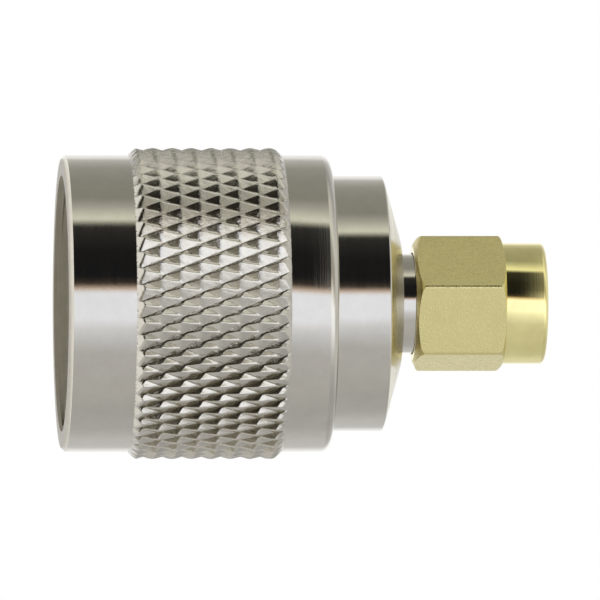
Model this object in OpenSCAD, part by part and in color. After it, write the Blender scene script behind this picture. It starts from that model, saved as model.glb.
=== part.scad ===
// Coaxial adapter, type N plug to SMA plug, turned and knurled.
// Everything is coaxial with Z. z = 0 is the mouth of the N coupling nut, on which the
// adapter stands, and the SMA end is on top. Millimetres.

/* [N coupling nut] */
// Nominal diameter of the N coupling thread
n_thread_d = 15.88; // [13:0.01:20]
// Wall of the nut's rim and skirt, outside the thread's nominal diameter
n_rim_wall = 1.74; // [1.4:0.01:3]
// Length of the smooth rim in front of the knurl
n_rim_len = 4.34; // [2:0.01:5]
// Chamfer round the outside of the mouth
n_mouth_chamfer = 0.24; // [0.1:0.01:0.5]
// Chamfer that leads into the thread at the mouth
n_lead = 0.42; // [0.1:0.01:0.6]
// Plain bore between the end of the thread and the gasket
n_runout = 0.7; // [0.3:0.01:1]
// Length of the skirt that runs back over the body's flange
n_skirt_len = 5.28; // [4.2:0.01:8]
// Rounding of the nut's rear corner
n_rear_round = 0.6; // [0.1:0.01:1]

/* [Knurl] */
// Length of the knurled band with its end chamfers
knurl_len = 10.03; // [6:0.01:12.5]
// Height of the knurl's crests above the smooth rim
knurl_rise = 0.49; // [0.45:0.01:0.8]
// Axial length of each end chamfer
knurl_chamfer = 0.53; // [0.3:0.01:1]
// Grooves round the nut in each of the two helical families
knurl_count = 57; // [40:1:80]
// Axial pitch of one groove family
knurl_pitch = 2.55; // [2:0.01:4]
// Depth of the main groove family
knurl_depth = 0.32; // [0.2:0.01:0.36]
// Share of a main groove that its steep flank takes; the other one is shallow
knurl_steep = 0.28; // [0.2:0.01:0.5]
// Share of the groove spacing that is left as a flat crest
knurl_flat = 0.08; // [0.04:0.01:0.3]
// Depth of the crossing groove family
knurl_cross_depth = 0.24; // [0.15:0.01:0.3]
// How deep the knurled band is rooted under the smooth rim's surface
knurl_root = 0.38; // [0.2:0.01:1]

/* [Main body] */
// How far the body's flange stands outside the N thread's nominal diameter
flange_over = 0.39; // [0.2:0.01:1]
// Length of the flange's exposed step behind the nut
step_len = 3.48; // [1:0.01:8]
// Height of the shallow cone that closes the step
cone_h = 1.12; // [0.5:0.01:3]
// Width of the flat round the neck, at the cone's small end
neck_land = 1.14; // [0.6:0.01:2]
// Neck left open between the flat and the SMA nut
neck_gap = 0.89; // [0.5:0.01:3]
// Height of the hub that the N gasket is stretched over
hub_h = 0.9; // [0.5:0.01:1.2]
// Wall of that hub round the N outer contact
hub_wall = 0.75; // [0.4:0.01:1.2]
// Chamfer on the flange's front edge and at the end of the step
edge_chamfer = 0.08; // [0.04:0.01:0.15]

/* [N plug interior] */
// Distance of the contact plane behind the nut's mouth
n_recess = 1.6; // [1:0.01:3]
// Distance of the gasket's face behind the contact plane
n_gasket_back = 9.1; // [8:0.01:12]
// Outside diameter of the N outer contact
n_contact_d = 8.1; // [7.5:0.01:9.8]
// Wall of the N outer contact's fingers
n_contact_wall = 0.52; // [0.35:0.01:0.7]
// How much the contact's pressed stem is thicker than its fingers, on the radius
n_stem_over = 0.4; // [0.3:0.01:0.8]
// Length of the stem in the body
n_stem_len = 3.7; // [3:0.01:5]
// Step between the fingers' bore and the wider seat of the bead, on the radius
bead_step = 0.2; // [0.1:0.01:0.3]
// Slots in the N outer contact
n_slots = 4; // [3:1:8]
// Width of a slot
n_slot_w = 0.35; // [0.2:0.01:0.6]
// Length of a slot
n_slot_len = 5.5; // [3:0.1:8]
// Diameter of the N centre pin
n_pin_d = 1.65; // [1.3:0.01:2.2]
// Diameter of the centre conductor behind the pin
n_conductor_d = 3.04; // [2.4:0.01:4]
// Depth of the conductor's waist in the bead
n_waist = 0.45; // [0.2:0.01:0.6]
// Distance of the conductor's shoulder behind the contact plane
n_shoulder_back = 5.3; // [4:0.01:7]
// Distance of the pin's tip behind the contact plane
n_tip_back = 0.3; // [0.1:0.01:1]
// Length of the SMA conductor's stud in the N centre pin
stud_len = 2.6; // [1.5:0.01:3.5]

/* [SMA coupling nut] */
// Nominal diameter of the SMA coupling thread
sma_thread_d = 6.35; // [5.2:0.01:8]
// Wall of the nut over the neck, at the middle of a flat
sma_nut_wall = 0.66; // [0.5:0.01:1.5]
// Wall of the round collar outside the thread's nominal diameter
sma_collar_wall = 0.785; // [0.4:0.005:1]
// Length of the hexagon with its rear chamfer, without the front one
hex_len = 5.31; // [4:0.01:7]
// Turn of the hexagon's corners about the axis
hex_turn = 15.9; // [0:0.1:60]
// Radial width of the nut's flat rear face
sma_rear_land = 0.36; // [0.2:0.01:0.5]
// How far the rear face slopes back between that land and the rounded corners
hex_rear_slope = 0.3; // [0.05:0.01:0.5]
// Rounding of the hexagon's corners at both ends
hex_round = 0.48; // [0.2:0.01:0.5]
// Height of the chamfer from the hexagon's corners to the collar
hex_front_chamfer = 0.57; // [0.45:0.01:0.8]
// Rounding of the collar's front edge
sma_front_round = 0.3; // [0.1:0.01:0.45]
// Chamfer that leads into the thread
sma_lead = 0.3; // [0.1:0.01:0.4]
// Length of the nut that runs back over the neck
sma_skirt_len = 3.15; // [2.7:0.01:5]

/* [SMA plug interior] */
// Distance of the contact plane behind the nut's front
sma_recess = 2.9; // [2.4:0.01:4]
// Distance of the neck's front face behind the contact plane
sma_seat_back = 2.55; // [2:0.01:3.5]
// Outside diameter of the SMA outer contact
sma_contact_d = 4.57; // [4:0.01:5.5]
// Wall of the SMA outer contact
sma_contact_wall = 0.235; // [0.15:0.005:0.35]
// How much the contact's pressed stem is thicker, on the radius
sma_stem_over = 0.165; // [0.1:0.005:0.4]
// Length of the stem in the neck
sma_stem_len = 7.2; // [5:0.01:8]
// Least height of the neck's surface outside the SMA thread's nominal diameter
neck_over = 0.065; // [0:0.005:0.3]
// Metal left in the neck between the ring groove and the stem
neck_wall = 0.4; // [0.25:0.01:1]
// Setback of the insulator and the pin's shoulder behind the contact plane
sma_setback = 0.05; // [0:0.01:0.1]
// Diameter of the SMA centre pin
sma_pin_d = 0.914; // [0.7:0.002:1.2]
// Length of the pin in front of the contact plane
sma_pin_len = 2.2; // [1.5:0.01:2.5]
// Diameter of the conductor inside the insulator
sma_conductor_d = 1.27; // [1:0.01:1.6]
// Diameter of the conductor's flange behind the N bead
sma_flange_d = 2.8; // [2.3:0.01:3.3]
// Thickness of that flange
sma_flange_t = 0.6; // [0.4:0.01:1]

/* [Snap rings and gaskets] */
// Thickness of the N snap ring
n_ring_t = 0.8; // [0.5:0.01:1]
// Radial width of the N snap ring
n_ring_w = 0.9; // [0.7:0.01:1.1]
// Depth of the N ring's groove in the flange
n_ring_groove = 0.55; // [0.5:0.01:1]
// Land between the N ring's groove and the nut's rear face
n_ring_land = 1.6; // [1:0.01:2.2]
// Thickness of the SMA snap ring
sma_ring_t = 0.5; // [0.3:0.01:0.7]
// Radial width of the SMA snap ring
sma_ring_w = 0.6; // [0.45:0.01:0.65]
// Depth of the SMA ring's groove in the neck
sma_ring_groove = 0.39; // [0.35:0.01:0.6]
// Land between the SMA ring's groove and the nut's rear face
sma_ring_land = 1.2; // [0.8:0.01:1.5]
// Opening of a snap ring, as an angle
ring_gap = 24; // [10:1:40]
// Thickness of the N gasket
n_gasket_t = 1.5; // [1:0.01:2]
// Radial gap between the N gasket and the nut's thread
n_gasket_gap = 0.44; // [0.3:0.01:1]
// Thickness of the SMA gasket
sma_gasket_t = 0.75; // [0.5:0.01:1]
// Radial gap between the SMA gasket and the nut's bore
sma_gasket_gap = 0.24; // [0.1:0.005:0.5]

/* [Fits] */
// Radial running clearance between a nut and the body
run_clear = 0.1; // [0.04:0.01:0.2]
// Clearance of a snap ring in its grooves, on each face
ring_clear = 0.03; // [0.02:0.01:0.06]
// End float of each coupling nut
nut_float = 0.3; // [0.1:0.01:0.4]
// Radial clearance of what is assembled into the body
seat_clear = 0.01; // [0.005:0.005:0.03]

/* [Hidden] */
$fn = 96;
over = 0.1;           // how far a cutter runs past the face that it cuts
tip_r_share = 0.6;    // share of a pin's radius that is left at its tip
taper_share = 0.8;    // length of a pin's taper, as a share of its diameter
round_share = 0.2;    // rounding of a pin's tip, as a share of its diameter
corner_turn = 60;     // angle through which the hexagon's corners are rounded
lip_share = 1 / 3;    // chamfers of a contact's lip, as a share of its wall
pin_chamfer = 0.1;    // chamfer of the conductor's shoulder and of the stud

// ---- heights, from the mouth up
n_plane_z = n_recess;
n_gasket_z = n_plane_z + n_gasket_back;
flange_z = n_gasket_z + n_gasket_t;
hub_z = flange_z - hub_h;
n_nut_len = flange_z + n_skirt_len;
step_z = n_nut_len + step_len;
neck_z = step_z + cone_h;
sma_nut_z = neck_z + neck_gap;
seat_z = sma_nut_z + sma_skirt_len;
sma_plane_z = seat_z + sma_seat_back;
total_len = sma_plane_z + sma_recess;
bead_z1 = hub_z + n_stem_len;
sma_stem_z = seat_z - sma_stem_len;

// ---- radii of the N side
n_thread_r = n_thread_d / 2;
n_rim_r = n_thread_r + n_rim_wall;
flange_r = n_thread_r + flange_over;
n_bore_r = flange_r + run_clear;
n_contact_r = n_contact_d / 2;
n_stem_r = n_contact_r + n_stem_over;
hub_r = n_stem_r + hub_wall;
n_contact_bore_r = n_contact_r - n_contact_wall;
bead_r = n_contact_bore_r + bead_step - seat_clear;
bead_z0 = hub_z - hub_h;
bead_bore_r = n_conductor_d / 2 - n_waist;

// ---- radii of the SMA side
sma_thread_r = sma_thread_d / 2;
sma_contact_r = sma_contact_d / 2;
sma_stem_r = sma_contact_r + sma_stem_over;
neck_r = max(sma_thread_r + neck_over, sma_stem_r + neck_wall + sma_ring_groove);
sma_bore_r = neck_r + run_clear;
hex_af = 2 * (sma_bore_r + sma_nut_wall);
hex_corner_r = hex_af / 2 / cos(30);
collar_r = sma_thread_r + sma_collar_wall;
dielectric_r = sma_contact_r - sma_contact_wall;
stud_r = sma_pin_d / 2;

// ---- ring grooves: what holds a ring still in a nut, and lets it float on the body
n_ring_z = n_nut_len - n_ring_land - ring_clear - n_ring_t;
n_ring_r0 = flange_r - n_ring_groove + run_clear;
sma_ring_z = sma_nut_z + sma_ring_land + ring_clear;
sma_ring_r0 = neck_r - sma_ring_groove + run_clear;

// ---- the knurl's own sizes
knurl_z0 = n_rim_len;
knurl_z1 = knurl_z0 + knurl_len;
crest_r = n_rim_r + knurl_rise;
knurl_in_r = n_rim_r - knurl_root;
rows = ceil(2 * (knurl_len + over) / knurl_pitch) + 1;
groove_spacing = 2 * PI * crest_r / knurl_count
    * cos(atan(2 * PI * crest_r / knurl_count / knurl_pitch));
steep = knurl_steep * (1 - knurl_flat);           // widths of a main groove's flanks and
shallow = (1 - knurl_steep) * (1 - knurl_flat);   // half width of a 90 degree crossing
wide_cross = knurl_cross_depth / groove_spacing;  // groove, as shares of the spacing
meet = 1 - knurl_cross_depth / knurl_depth;       // where a crossing groove meets a flank
knurl_mid_z = (knurl_z0 + knurl_z1) / 2;

// Points of a quarter turn about [cx, cy], from angle a0 to a1
function arc(cx, cy, r, a0, a1, steps = 8) =
    [for (i = [0 : steps]) let (a = a0 + (a1 - a0) * i / steps) [cx + r * cos(a), cy + r * sin(a)]];

// A solid of revolution from its profile in [radius, height]
module turned(profile) {
    rotate_extrude() polygon(profile);
}

// A plain tube between two radii
module tube(r0, r1, z0, z1) {
    turned([[r0, z0], [r1, z0], [r1, z1], [r0, z1]]);
}

// A flat C-shaped spring ring
module snap_ring(r0, width, z, t) {
    difference() {
        tube(r0, r0 + width, z, z + t);
        rotate_extrude(angle = ring_gap)
            translate([r0 - over, z - over]) square([width + 2 * over, t + 2 * over]);
    }
}

// ---- the knurl: diamonds between two families of V grooves on one cylinder.
// u counts the main grooves and v the crossing ones. Grooves lie at whole numbers.
// Row n, column k is the crossing of two grooves; each diamond has a crossing at its
// left, right, top and bottom, and four corners on the crest.
function on_cylinder(n, k, u, v, depth) =
    let (a = 360 / knurl_count * (k + (n % 2) / 2 + (u + v) / 2),
         z = knurl_mid_z + (n - rows / 2 + u - v) * knurl_pitch / 2,
         r = crest_r - depth)
    [r * cos(a), r * sin(a), z];

function column(k) = (k + knurl_count) % knurl_count;
function crossing(n, k) = n * knurl_count + column(k);
function valley(n, k, side) = (rows + 1) * knurl_count * (1 + side) + crossing(n, k);
function crest(n, k, c) = (rows + 1) * knurl_count * 3 + ((n - 1) * knurl_count + column(k)) * 4 + c;
function inner(end, k) = (rows + 1) * knurl_count * 3 + (rows - 1) * knurl_count * 4
    + end * knurl_count + column(k);

module knurled_sleeve() {
    grid = [for (n = [0 : rows], k = [0 : knurl_count - 1]) [n, k]];
    inner_r = knurl_in_r / crest_r;
    points = concat(
        [for (g = grid) on_cylinder(g[0], g[1], 0, 0, knurl_depth)],
        [for (g = grid) on_cylinder(g[0], g[1], meet * steep, 0, knurl_cross_depth)],
        [for (g = grid) on_cylinder(g[0], g[1], -meet * shallow, 0, knurl_cross_depth)],
        [for (n = [1 : rows - 1], k = [0 : knurl_count - 1],
              c = [[steep, wide_cross], [1 - shallow, wide_cross],
                   [1 - shallow, 1 - wide_cross], [steep, 1 - wide_cross]])
            on_cylinder(n, k, c[0], c[1], 0)],
        [for (n = [0, rows], k = [0 : knurl_count - 1])
            on_cylinder(n, k, 0, 0, crest_r - knurl_in_r)]
    );
    diamonds = [for (n = [1 : rows - 1], k = [0 : knurl_count - 1])
        let (up = k + n % 2,
             left = crossing(n, k), right = crossing(n, k + 1),
             top = crossing(n + 1, up), bottom = crossing(n - 1, up),
             left_top = valley(n, k, 0), top_left = valley(n + 1, up, 1),
             bottom_right = valley(n - 1, up, 0), right_bottom = valley(n, k + 1, 1),
             c = [for (i = [0 : 3]) crest(n, k, i)])
        each [[c[0], c[1], c[2]], [c[0], c[2], c[3]],
              [left, left_top, c[0]], [left, c[0], c[3]],
              [left, c[3], bottom], [bottom, c[3], bottom_right],
              [right, right_bottom, c[2]], [right, c[2], c[1]],
              [right, c[1], top], [top, c[1], top_left],
              [left_top, top_left, c[1]], [left_top, c[1], c[0]],
              [right_bottom, bottom_right, c[3]], [right_bottom, c[3], c[2]]]];
    ends = [for (k = [0 : knurl_count - 1])
        let (last = rows - 1, up = k + last % 2)
        each [[crossing(0, k + 2), crossing(0, k + 1), valley(0, k + 1, 0)],
              [crossing(0, k + 2), valley(0, k + 1, 0), valley(1, k + 1, 1)],
              [crossing(0, k + 2), valley(1, k + 1, 1), crossing(1, k + 1)],
              [crossing(last, k + 1), crossing(rows, up), crossing(rows, up + 1)],
              [crossing(last, k + 1), crossing(rows, up + 1), valley(rows, up + 1, 1)],
              [crossing(last, k + 1), valley(rows, up + 1, 1), valley(last, k + 1, 0)],
              [crossing(0, k), crossing(0, k + 1), inner(0, k + 1)],
              [crossing(0, k), inner(0, k + 1), inner(0, k)],
              [crossing(rows, k + 1), crossing(rows, k), inner(1, k)],
              [crossing(rows, k + 1), inner(1, k), inner(1, k + 1)],
              [inner(0, k), inner(0, k + 1), inner(1, k + 1)],
              [inner(0, k), inner(1, k + 1), inner(1, k)]]];
    polyhedron(points, concat(diamonds, ends), convexity = 10);
}

// The knurled band between its two end chamfers. Each cone starts just under the rim's
// surface and runs on past the crests, so that it cuts both cleanly.
module knurled_band() {
    under = over * knurl_chamfer / knurl_rise;
    intersection() {
        knurled_sleeve();
        turned([[knurl_in_r - over, knurl_z0 - under], [n_rim_r - over, knurl_z0 - under],
                [crest_r + over, knurl_z0 + knurl_chamfer + under],
                [crest_r + over, knurl_z1 - knurl_chamfer - under],
                [n_rim_r - over, knurl_z1 + under], [knurl_in_r - over, knurl_z1 + under]]);
    }
}

// ---- N coupling nut: threaded front, skirt over the flange, groove for the snap ring
module n_coupling_nut() {
    thread_z = n_gasket_z - n_runout;
    groove_r = n_ring_r0 + n_ring_w + run_clear;
    color([0.72, 0.71, 0.68]) union() {
        knurled_band();
        turned(concat(
            [[n_thread_r + n_lead, 0], [n_rim_r - n_mouth_chamfer, 0], [n_rim_r, n_mouth_chamfer]],
            arc(n_rim_r - n_rear_round, n_nut_len - n_rear_round, n_rear_round, 0, 90),
            [[n_bore_r, n_nut_len],
             [n_bore_r, n_ring_z + n_ring_t + ring_clear],
             [groove_r, n_ring_z + n_ring_t + ring_clear],
             [groove_r, n_ring_z - ring_clear],
             [n_bore_r, n_ring_z - ring_clear],
             [n_bore_r, thread_z], [n_thread_r, thread_z - (n_bore_r - n_thread_r)],
             [n_thread_r, n_lead]]));
    }
}

// ---- main body: hub, flange with its groove, step, cone, neck with its groove
module main_body() {
    n_groove_r = flange_r - n_ring_groove;
    sma_groove_r = neck_r - sma_ring_groove;
    lead = 2 * edge_chamfer;
    color([0.74, 0.73, 0.70]) turned([
        [n_stem_r, hub_z], [hub_r - edge_chamfer, hub_z], [hub_r, hub_z + edge_chamfer],
        [hub_r, flange_z], [flange_r - lead, flange_z], [flange_r, flange_z + lead],
        [flange_r, n_ring_z - nut_float - ring_clear],
        [n_groove_r, n_ring_z - nut_float - ring_clear],
        [n_groove_r, n_ring_z + n_ring_t + ring_clear],
        [flange_r, n_ring_z + n_ring_t + ring_clear],
        [flange_r, step_z - edge_chamfer], [flange_r - edge_chamfer, step_z],
        [neck_r + neck_land, neck_z], [neck_r, neck_z],
        [neck_r, sma_ring_z - ring_clear],
        [sma_groove_r, sma_ring_z - ring_clear],
        [sma_groove_r, sma_ring_z + sma_ring_t + nut_float + ring_clear],
        [neck_r, sma_ring_z + sma_ring_t + nut_float + ring_clear],
        [neck_r, seat_z - lead], [neck_r - lead, seat_z],
        [sma_stem_r, seat_z], [sma_stem_r, sma_stem_z],
        [dielectric_r, sma_stem_z], [dielectric_r, bead_z1], [n_stem_r, bead_z1]]);
}

module n_snap_ring() {
    color([0.70, 0.58, 0.36]) rotate([0, 0, 90]) snap_ring(n_ring_r0, n_ring_w, n_ring_z, n_ring_t);
}

module n_gasket() {
    color([0.45, 0.13, 0.09]) tube(hub_r + seat_clear, n_thread_r - n_gasket_gap, n_gasket_z, flange_z);
}

// ---- N outer contact: slotted fingers in front, stem pressed into the body behind
module n_outer_contact() {
    lip = lip_share * n_contact_wall;
    stem_r = n_stem_r - seat_clear;
    color([0.80, 0.79, 0.75]) difference() {
        turned([
            [n_contact_bore_r, n_plane_z + lip], [n_contact_bore_r + lip, n_plane_z],
            [n_contact_r - lip, n_plane_z], [n_contact_r, n_plane_z + lip],
            [n_contact_r, hub_z], [stem_r, hub_z], [stem_r, bead_z1],
            [bead_r + seat_clear, bead_z1], [bead_r + seat_clear, bead_z0],
            [n_contact_bore_r, bead_z0]]);
        for (i = [0 : n_slots - 1]) rotate([0, 0, i * 360 / n_slots + 45])
            translate([n_contact_bore_r / 2, -n_slot_w / 2, n_plane_z - over])
                cube([n_contact_r, n_slot_w, n_slot_len + over]);
    }
}

module n_bead() {
    color([0.95, 0.94, 0.90]) tube(bead_bore_r + seat_clear, bead_r, bead_z0, bead_z1);
}

// ---- N centre pin: tapered tip, conductor, waist in the bead, socket for the SMA stud
module n_centre_pin() {
    pin_r = n_pin_d / 2;
    conductor_r = n_conductor_d / 2;
    tip_z = n_plane_z + n_tip_back;
    shoulder_z = n_plane_z + n_shoulder_back;
    round_r = round_share * n_pin_d;
    socket_r = stud_r + seat_clear;
    socket_z = bead_z1 - stud_len - 2 * over;
    color([0.86, 0.70, 0.33]) turned(concat(
        [[0, tip_z]],
        arc(pin_r * tip_r_share - round_r, tip_z + round_r, round_r, -90, 0),
        [[pin_r, tip_z + taper_share * n_pin_d], [pin_r, shoulder_z],
         [conductor_r - pin_chamfer, shoulder_z], [conductor_r, shoulder_z + pin_chamfer],
         [conductor_r, bead_z0], [bead_bore_r, bead_z0], [bead_bore_r, bead_z1],
         [socket_r, bead_z1], [socket_r, socket_z], [0, socket_z]]));
}

// ---- SMA coupling nut: hexagon with rounded corners at both ends, then a round collar
module sma_coupling_nut() {
    rear_r = sma_bore_r + sma_rear_land;
    round_r = hex_corner_r - hex_round;
    round_z = sma_nut_z + hex_rear_slope + hex_round * sin(corner_turn);
    hex_end_z = sma_nut_z + hex_len;
    collar_z = hex_end_z + hex_front_chamfer;
    thread_z = seat_z + sma_gasket_t;
    groove_r = sma_ring_r0 + sma_ring_w + run_clear / 2;
    color([0.85, 0.72, 0.38]) difference() {
        union() {
            intersection() {
                translate([0, 0, sma_nut_z]) rotate([0, 0, hex_turn])
                    cylinder(r = hex_corner_r, h = collar_z - sma_nut_z, $fn = 6);
                turned(concat(
                    [[0, sma_nut_z], [rear_r, sma_nut_z]],
                    arc(round_r, round_z, hex_round, -corner_turn, 0, 4),
                    arc(round_r, hex_end_z, hex_round, 0, corner_turn, 4),
                    [[collar_r, collar_z], [0, collar_z]]));
            }
            turned(concat(
                [[0, collar_z - over], [collar_r, collar_z - over]],
                arc(collar_r - sma_front_round, total_len - sma_front_round, sma_front_round, 0, 90),
                [[0, total_len]]));
        }
        turned([
            [0, sma_nut_z - over], [sma_bore_r, sma_nut_z - over],
            [sma_bore_r, sma_ring_z - ring_clear], [groove_r, sma_ring_z - ring_clear],
            [groove_r, sma_ring_z + sma_ring_t + ring_clear],
            [sma_bore_r, sma_ring_z + sma_ring_t + ring_clear],
            [sma_bore_r, thread_z], [sma_thread_r, thread_z + sma_bore_r - sma_thread_r],
            [sma_thread_r, total_len - sma_lead], [sma_thread_r + sma_lead, total_len],
            [sma_thread_r + sma_lead, total_len + over], [0, total_len + over]]);
    }
}

module sma_snap_ring() {
    color([0.70, 0.58, 0.36]) snap_ring(sma_ring_r0, sma_ring_w, sma_ring_z, sma_ring_t);
}

module sma_gasket() {
    color([0.45, 0.13, 0.09])
        tube(sma_contact_r + seat_clear, sma_bore_r - sma_gasket_gap, seat_z, seat_z + sma_gasket_t);
}

module sma_outer_contact() {
    lip = lip_share * sma_contact_wall;
    bore_r = dielectric_r + seat_clear;
    stem_r = sma_stem_r - seat_clear;
    color([0.86, 0.73, 0.40]) turned([
        [bore_r, sma_stem_z], [stem_r, sma_stem_z], [stem_r, seat_z], [sma_contact_r, seat_z],
        [sma_contact_r, sma_plane_z - lip], [sma_contact_r - lip, sma_plane_z],
        [bore_r, sma_plane_z]]);
}

module sma_insulator() {
    color([0.95, 0.94, 0.90])
        tube(sma_conductor_d / 2 + seat_clear, dielectric_r - seat_clear,
             bead_z1 + sma_flange_t, sma_plane_z - sma_setback);
}

// ---- SMA centre pin: stud in the N pin, flange behind the bead, conductor, tapered pin
module sma_centre_pin() {
    pin_r = sma_pin_d / 2;
    conductor_r = sma_conductor_d / 2;
    flange_z1 = bead_z1 + sma_flange_t;
    shoulder_z = sma_plane_z - sma_setback;
    tip_z = sma_plane_z + sma_pin_len;
    round_r = round_share * sma_pin_d;
    color([0.86, 0.70, 0.33]) turned(concat(
        [[0, bead_z1 - stud_len], [stud_r - pin_chamfer, bead_z1 - stud_len],
         [stud_r, bead_z1 - stud_len + pin_chamfer], [stud_r, bead_z1],
         [sma_flange_d / 2, bead_z1], [sma_flange_d / 2, flange_z1],
         [conductor_r, flange_z1], [conductor_r, shoulder_z],
         [pin_r, shoulder_z], [pin_r, tip_z - taper_share * sma_pin_d]],
        arc(pin_r * tip_r_share - round_r, tip_z - round_r, round_r, 0, 90),
        [[0, tip_z]]));
}

n_coupling_nut();
main_body();
n_snap_ring();
n_gasket();
n_outer_contact();
n_bead();
n_centre_pin();
sma_coupling_nut();
sma_snap_ring();
sma_gasket();
sma_outer_contact();
sma_insulator();
sma_centre_pin();
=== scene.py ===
"""A straight coaxial adapter: a knurled N coupling nut at one end and a hexagonal SMA coupling
nut at the other, both on one turned body. Everything is coaxial with Z and stands on the N nut's
mouth, with the SMA end on top."""

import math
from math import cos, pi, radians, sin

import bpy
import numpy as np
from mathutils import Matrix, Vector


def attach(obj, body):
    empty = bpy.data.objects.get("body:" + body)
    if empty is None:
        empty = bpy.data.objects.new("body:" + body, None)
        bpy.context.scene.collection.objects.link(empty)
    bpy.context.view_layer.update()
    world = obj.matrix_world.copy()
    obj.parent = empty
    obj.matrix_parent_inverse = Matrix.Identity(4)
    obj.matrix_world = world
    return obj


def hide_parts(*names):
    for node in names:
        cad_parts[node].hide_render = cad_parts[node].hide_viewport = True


bl_info = {
    "name": "Coaxial adapter",
    "version": (1, 0, 0),
    "blender": (4, 5, 0),
    "location": "View3D > Sidebar > Adapter",
    "description": "Models a coaxial adapter around its CAD frame, with its finishes and a stage",
    "category": "Object",
}

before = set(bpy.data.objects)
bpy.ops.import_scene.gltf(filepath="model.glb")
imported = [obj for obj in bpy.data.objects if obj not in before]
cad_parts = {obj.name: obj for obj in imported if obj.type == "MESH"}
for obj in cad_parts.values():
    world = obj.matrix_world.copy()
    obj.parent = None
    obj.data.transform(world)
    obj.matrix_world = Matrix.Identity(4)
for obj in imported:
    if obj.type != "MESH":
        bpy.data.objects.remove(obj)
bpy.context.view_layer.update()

MM = 0.001
JOIN = 1e-7          # vertices nearer than this are one
FINE = 256           # sides of the outer turned pieces
PLAIN = 128          # sides of the turned pieces inside
CLEAR = 0.01 * MM    # clearance of a seated piece, on the radius
BREAK = 0.1 * MM     # chamfer on the pins and their conductors
SUNK = 0.02 * MM     # how far a thread's ridge is rooted in the nut's wall
PIN_TIP = 0.6        # radius at a pin's tip, in pin radii
PIN_ROUND = 0.4      # rounding of the tip, in pin radii
PIN_TAPER = 1.6      # length of the taper, in pin radii
PIN_FLAT = 0.3       # angle of the rounding that the tip's flat takes away


# ---- settings


def length(name, mm, about, soft_max=None):
    """A size in the sidebar, given here in millimetres."""
    return bpy.props.FloatProperty(
        name=name, description=about, default=mm * MM, min=0.0,
        soft_max=(soft_max or mm * 2) * MM, unit="LENGTH", precision=5)


def share(name, value, about):
    """A share from 0 to 1 in the sidebar."""
    return bpy.props.FloatProperty(
        name=name, description=about, default=value, min=0.0, max=1.0, subtype="FACTOR")


def colour(name, value, about):
    """A colour in the sidebar."""
    return bpy.props.FloatVectorProperty(
        name=name, description=about, default=value, size=3, min=0.0, soft_max=1.0,
        subtype="COLOR")


class NutSizes(bpy.types.PropertyGroup):
    """The N coupling nut and its thread."""
    thread_r: length("Thread radius", 7.94, "Nominal radius of the N coupling thread")
    thread_minor_r: length("Thread crest radius", 7.45, "Radius of the thread's crests")
    thread_pitch: length("Thread pitch", 1.0583, "Advance of the N thread in one turn")
    thread_end: length("Thread end", 9.3, "Height at which the thread runs out")
    rim_r: length("Rim radius", 9.68, "Outside radius of the smooth rim and of the skirt")
    mouth_chamfer: length("Mouth chamfer", 0.24, "Chamfer round the outside of the mouth")
    lead: length("Lead", 0.42, "Chamfer that leads into the thread")
    bore_r: length("Bore radius", 8.43, "Radius of the bore over the body's flange")
    bore_z: length("Bore start", 10.0, "Height at which the wide bore starts")
    groove_r: length("Ring groove radius", 8.88, "Radius of the groove for the snap ring")
    groove_z0: length("Ring groove start", 15.02, "Lower face of the ring groove")
    groove_z1: length("Ring groove end", 15.88, "Upper face of the ring groove")
    rear_round: length("Rear rounding", 0.6, "Rounding of the nut's rear corner")
    end_z: length("Nut length", 17.48, "Length of the whole nut")


class KnurlSizes(bpy.types.PropertyGroup):
    """The knurled band of the N coupling nut."""
    z0: length("Band start", 4.34, "Height at which the knurled band starts")
    z1: length("Band end", 14.37, "Height at which it ends")
    crest_r: length("Crest radius", 10.17, "Radius of the knurl's crests")
    root_r: length("Root radius", 9.3, "Inner radius of the band, inside the nut's wall")
    chamfer: length("End chamfer", 0.53, "Axial length of each end chamfer")
    count: bpy.props.IntProperty(
        name="Grooves", description="Grooves round the nut in each family", default=57, min=12)
    pitch: length("Axial pitch", 2.55, "Axial pitch of one groove family")
    depth: length("Main depth", 0.36, "Depth of the main grooves")
    cross_depth: length("Crossing depth", 0.28, "Depth of the crossing grooves")
    steep: share("Steep flank", 0.20, "Share of a main groove that its steep flank takes")
    broad: share("Broad face", 0.71, "Share that its broad face takes")
    cross_steep: share("Crossing flank", 0.38, "Share of a crossing groove's steep flank")
    cross_gentle: share("Crossing slope", 0.56, "Share of a crossing groove's gentle side")
    rounding: length("Crest rounding", 0.05, "How far the crests and valleys are rounded off")
    waviness: length("Waviness", 0.018, "Unevenness left by the knurling wheels")


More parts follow.
